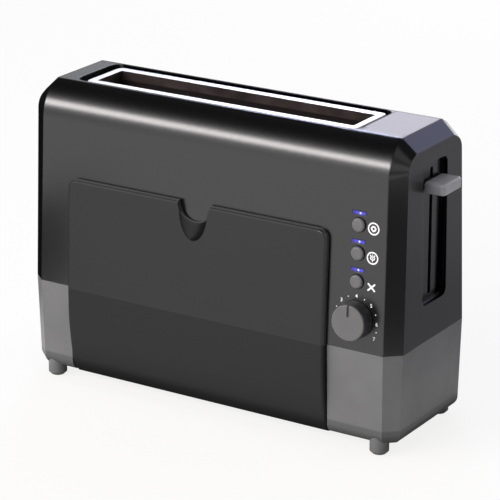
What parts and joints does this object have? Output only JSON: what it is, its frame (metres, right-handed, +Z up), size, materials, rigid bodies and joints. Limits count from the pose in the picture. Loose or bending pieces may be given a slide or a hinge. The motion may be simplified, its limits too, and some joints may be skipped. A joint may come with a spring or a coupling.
{
  "type": "slide-through toaster",
  "caption": "Long-slot countertop toaster with a tip-down front serving tray, a side lever that closes a bread gate, push buttons and a browning dial.",
  "frame": {"origin": "middle of the whole part's footprint, on the surface that the feet stand on", "axes": "+X along the length towards the lever end, +Y towards the back, +Z up"},
  "size_m": [0.3954, 0.1421, 0.275],
  "materials": {
    "black_shell": "satin black moulded plastic",
    "grey_base": "fine-grained grey moulded plastic",
    "tray_black": "satin charcoal moulded plastic",
    "bright_trim": "polished sheet metal",
    "control_grey": "satin grey moulded plastic",
    "dial_black": "satin grey face on a dark moulded knob",
    "steel": "plain sheet steel",
    "board": "printed circuit board",
    "mica": "pressed mica board",
    "heater": "resistance ribbon",
    "magnet_copper": "enamelled copper winding",
    "light_blue": "lit blue light bar",
    "carrier": "black engineering plastic",
    "rubber_grey": "dark rubber bush"
  },
  "bodies": {
    "housing": {"body_wrap": "black_shell", "left_end_cap": "black_shell", "right_end_cap": "black_shell", "slot_trim": "bright_trim", "base_shell": "grey_base", "front_left_foot": "grey_base", "front_right_foot": "grey_base", "back_left_foot": "grey_base", "back_right_foot": "grey_base", "bottom_plate": "steel", "base_screws": "steel", "cord_gland": "rubber_grey", "left_inner_plate": "steel", "right_inner_plate": "steel", "chassis_screws": "steel", "front_reflector": "bright_trim", "back_reflector": "bright_trim", "front_heater_board": "mica", "back_heater_board": "mica", "front_heater_ribbon": "heater", "back_heater_ribbon": "heater", "front_bread_guide": "steel", "back_bread_guide": "steel", "exit_chute": "steel", "guide_rod": "steel", "upper_rod_bracket": "steel", "lower_rod_bracket": "steel", "magnet_core": "steel", "magnet_coil": "magnet_copper", "power_board": "board", "control_board": "board", "dial_potentiometer": "carrier", "button_switches": "carrier", "status_lights": "light_blue"},
    "serving_tray": {"serving_tray": "tray_black", "tray_liner": "bright_trim", "tray_hinge_pins": "steel"},
    "lever": {"lever_carriage": "carrier", "gate_cam": "steel", "lever_arm": "steel", "lever_knob": "control_grey", "latch_plate": "steel", "return_spring": "steel"},
    "gate": {"bread_gate": "steel", "gate_shaft": "steel", "gate_crank": "steel"},
    "dial": {"dial_knob": "dial_black", "dial_shaft": "steel"},
    "upper_button": {"upper_button": "control_grey"},
    "middle_button": {"middle_button": "control_grey"},
    "lower_button": {"lower_button": "control_grey"}
  },
  "joints": [
    {"name": "tray_tip", "type": "hinge", "parent": "housing", "child": "serving_tray", "pos_m": [-0.01915, -0.04889, 0.017], "axis": [1, 0, 0], "range_deg": [0, 85]},
    {"name": "lever_slide", "type": "slide", "parent": "housing", "child": "lever", "axis": [0, 0, 1], "range_m": [-0.092, 0.008], "stiffness_N_per_m": 60, "springref_m": 0.012, "deforming": ["return_spring"]},
    {"name": "gate_turn", "type": "hinge", "parent": "housing", "child": "gate", "pos_m": [-0.01915, 0.02311, 0.132], "axis": [1, 0, 0], "range_deg": [-90.5, 8.5]},
    {"name": "dial_turn", "type": "hinge", "parent": "housing", "child": "dial", "pos_m": [0.14175, -0.05731, 0.1203], "axis": [0, -0.9989, 0.046], "range_deg": [-135, 135]},
    {"name": "upper_press", "type": "slide", "parent": "housing", "child": "upper_button", "axis": [0, 0.9989, -0.046], "range_m": [0, 0.0015], "stiffness_N_per_m": 500},
    {"name": "middle_press", "type": "slide", "parent": "housing", "child": "middle_button", "axis": [0, 0.9989, -0.046], "range_m": [0, 0.0015], "stiffness_N_per_m": 500},
    {"name": "lower_press", "type": "slide", "parent": "housing", "child": "lower_button", "axis": [0, 0.9989, -0.046], "range_m": [0, 0.0015], "stiffness_N_per_m": 500}
  ],
  "couplings": [
    {"joint": "gate_turn", "follows": "lever_slide", "rad_per_m": 17.074}
  ]
}
